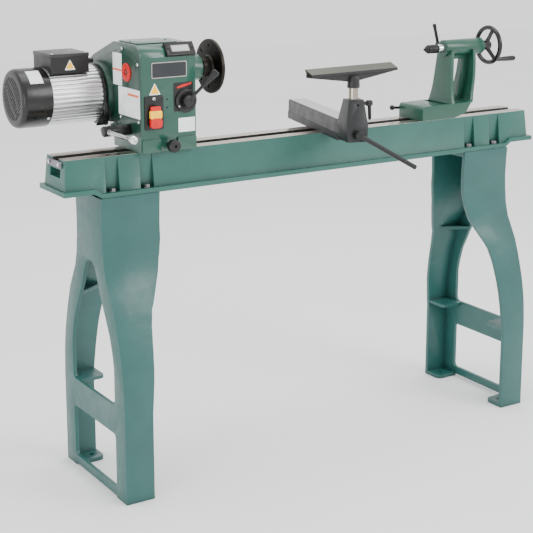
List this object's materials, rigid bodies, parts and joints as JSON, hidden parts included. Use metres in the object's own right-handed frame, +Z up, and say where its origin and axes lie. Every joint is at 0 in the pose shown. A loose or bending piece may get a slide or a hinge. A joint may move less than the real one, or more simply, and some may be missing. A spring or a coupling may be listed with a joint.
{
  "type": "wood lathe",
  "caption": "Wood-turning lathe on cast legs: swivelling headstock with side motor, sliding banjo with tool rest, and a tailstock with screw-fed quill and live centre.",
  "frame": {"origin": "middle of the whole machine's footprint, on the floor", "axes": "+X along the bed from headstock to tailstock, +Y away from the operator, +Z up"},
  "size_m": [1.605, 0.5656, 1.1853],
  "materials": {
    "green_paint": "semi-gloss teal-green enamel over rough casting",
    "dark_iron": "dark machined iron",
    "black_metal": "satin black",
    "steel": "ground",
    "chrome": "polished",
    "aluminium": "ribbed casting",
    "copper": "copper windings",
    "black_plastic": "moulded",
    "belt_rubber": "matte",
    "red_plastic": "moulded red"
  },
  "bodies": {
    "bed": {"bed_casting": "green_paint", "left_leg": "green_paint", "right_leg": "green_paint", "left_stop_plate": "dark_iron", "right_stop_plate": "dark_iron", "left_leg_bolt_front_1": "chrome", "left_leg_bolt_front_2": "chrome", "left_leg_bolt_back_1": "chrome", "left_leg_bolt_back_2": "chrome", "right_leg_bolt_front_1": "chrome", "right_leg_bolt_front_2": "chrome", "right_leg_bolt_back_1": "chrome", "right_leg_bolt_back_2": "chrome"},
    "headstock_saddle": {"swivel_base": "dark_iron", "headstock_clamp_plate": "dark_iron"},
    "headstock": {"headstock_casting": "green_paint", "pulley_cover": "green_paint", "top_cover": "green_paint", "headstock_clamp_bolt": "steel", "rear_bearing": "steel", "front_bearing": "steel", "drive_belt": "belt_rubber", "motor_housing": "aluminium", "motor_stator": "copper", "motor_end_bell": "black_metal", "fan_cover": "black_metal", "junction_box": "black_plastic", "junction_box_lid": "black_plastic", "switch_housing": "black_plastic", "speed_bezel": "black_plastic", "readout_housing": "black_plastic"},
    "index_plunger": {"index_plunger": "black_plastic"},
    "headstock_lock": {"headstock_lock_shaft": "black_metal", "headstock_lock_lever": "chrome"},
    "spindle": {"spindle": "steel", "spindle_pulley": "aluminium", "faceplate": "dark_iron", "spindle_end_ring": "red_plastic"},
    "motor_rotor": {"motor_rotor": "steel", "motor_pulley": "aluminium", "cooling_fan": "black_plastic"},
    "speed_lever": {"speed_lever": "black_plastic"},
    "switch_paddle": {"switch_paddle": "red_plastic"},
    "banjo_saddle": {"banjo_clamp_plate": "dark_iron"},
    "banjo_pivot": {"banjo_clamp_bolt": "steel"},
    "banjo": {"banjo_casting": "dark_iron"},
    "banjo_clamp": {"banjo_clamp_bar": "black_metal"},
    "post_lock": {"post_lock_handle": "black_metal"},
    "rest_post": {"tool_rest_post": "steel"},
    "tool_rest": {"tool_rest": "dark_iron"},
    "tailstock": {"tailstock_casting": "green_paint", "tailstock_clamp_bolt": "steel", "tailstock_clamp_plate": "dark_iron"},
    "handwheel": {"handwheel": "black_metal", "leadscrew": "steel"},
    "handwheel_handle": {"handwheel_handle": "black_metal"},
    "quill": {"quill": "steel"},
    "live_centre": {"live_centre": "dark_iron"},
    "quill_lock": {"quill_lock_lever": "black_metal"},
    "tailstock_clamp": {"tailstock_clamp_lever": "black_metal"}
  },
  "joints": [
    {"name": "headstock_slide", "type": "slide", "parent": "bed", "child": "headstock_saddle", "axis": [1, 0, 0], "range_m": [-0.22, 0.38]},
    {"name": "headstock_swivel", "type": "hinge", "parent": "headstock_saddle", "child": "headstock", "pos_m": [-0.4695, 0.03109, 0.903], "axis": [0, 0, 1], "range_deg": [-120, 0]},
    {"name": "index_plunger_slide", "type": "slide", "parent": "headstock", "child": "index_plunger", "axis": [0, 1, 0], "range_m": [0, 0.01]},
    {"name": "headstock_lock_turn", "type": "hinge", "parent": "headstock", "child": "headstock_lock", "pos_m": [-0.5695, 0.02309, 0.958], "axis": [1, 0, 0], "range_deg": [-90, 15]},
    {"name": "spindle_spin", "type": "hinge", "parent": "headstock", "child": "spindle", "pos_m": [-0.4695, 0.03109, 1.106], "axis": [1, 0, 0], "continuous": true},
    {"name": "motor_spin", "type": "hinge", "parent": "headstock", "child": "motor_rotor", "pos_m": [-0.5695, 0.19109, 1.036], "axis": [1, 0, 0], "continuous": true},
    {"name": "speed_lever_turn", "type": "hinge", "parent": "headstock", "child": "speed_lever", "pos_m": [-0.4185, -0.05791, 1.032], "axis": [0, 1, 0], "range_deg": [-110, 8]},
    {"name": "switch_paddle_tilt", "type": "hinge", "parent": "headstock", "child": "switch_paddle", "pos_m": [-0.5125, -0.05161, 1.023], "axis": [1, 0, 0], "range_deg": [-12, 3]},
    {"name": "banjo_slide", "type": "slide", "parent": "bed", "child": "banjo_saddle", "axis": [1, 0, 0], "range_m": [-0.33, 0.22]},
    {"name": "banjo_swivel", "type": "hinge", "parent": "banjo_saddle", "child": "banjo_pivot", "pos_m": [0.0655, 0.03109, 0.903], "axis": [0, 0, 1], "range_deg": [-45, 45]},
    {"name": "banjo_reach", "type": "slide", "parent": "banjo_pivot", "child": "banjo", "axis": [-0.2334, -0.9724, 0], "range_m": [-0.1, 0.1]},
    {"name": "banjo_clamp_turn", "type": "hinge", "parent": "banjo", "child": "banjo_clamp", "pos_m": [0.0655, 0.03109, 0.929], "axis": [-0.2334, -0.9724, 0], "range_deg": [-35, 60]},
    {"name": "post_lock_turn", "type": "hinge", "parent": "banjo", "child": "post_lock", "pos_m": [0.01181, -0.19256, 1.007], "axis": [0.9724, -0.2334, 0], "range_deg": [-90, 90]},
    {"name": "post_height", "type": "slide", "parent": "banjo", "child": "rest_post", "axis": [0, 0, 1], "range_m": [-0.028, 0.025]},
    {"name": "tool_rest_turn", "type": "hinge", "parent": "rest_post", "child": "tool_rest", "pos_m": [0.01181, -0.19256, 1.063], "axis": [0, 0, 1], "continuous": true},
    {"name": "tailstock_slide", "type": "slide", "parent": "bed", "child": "tailstock", "axis": [1, 0, 0], "range_m": [-0.21, 0.19]},
    {"name": "handwheel_turn", "type": "hinge", "parent": "tailstock", "child": "handwheel", "pos_m": [0.6765, 0.03109, 1.106], "axis": [-1, 0, 0], "range_deg": [-1296, 3240]},
    {"name": "handle_spin", "type": "hinge", "parent": "handwheel", "child": "handwheel_handle", "pos_m": [0.7265, -0.00154, 1.06424], "axis": [1, 0, 0], "continuous": true},
    {"name": "quill_slide", "type": "slide", "parent": "tailstock", "child": "quill", "axis": [-1, 0, 0], "range_m": [-0.018, 0.045]},
    {"name": "live_centre_spin", "type": "hinge", "parent": "quill", "child": "live_centre", "pos_m": [0.4805, 0.03109, 1.106], "axis": [1, 0, 0], "continuous": true},
    {"name": "quill_lock_turn", "type": "hinge", "parent": "tailstock", "child": "quill_lock", "pos_m": [0.5165, 0.07109, 1.112], "axis": [0, 1, 0], "range_deg": [-30, 60]},
    {"name": "tailstock_clamp_turn", "type": "hinge", "parent": "tailstock", "child": "tailstock_clamp", "pos_m": [0.4445, 0.09109, 0.923], "axis": [0, 1, 0], "range_deg": [-10, 75]}
  ],
  "couplings": [
    {"joint": "motor_spin", "follows": "spindle_spin", "ratio": 1.4724},
    {"joint": "quill_slide", "follows": "handwheel_turn", "m_per_rad": 0.00079577}
  ]
}
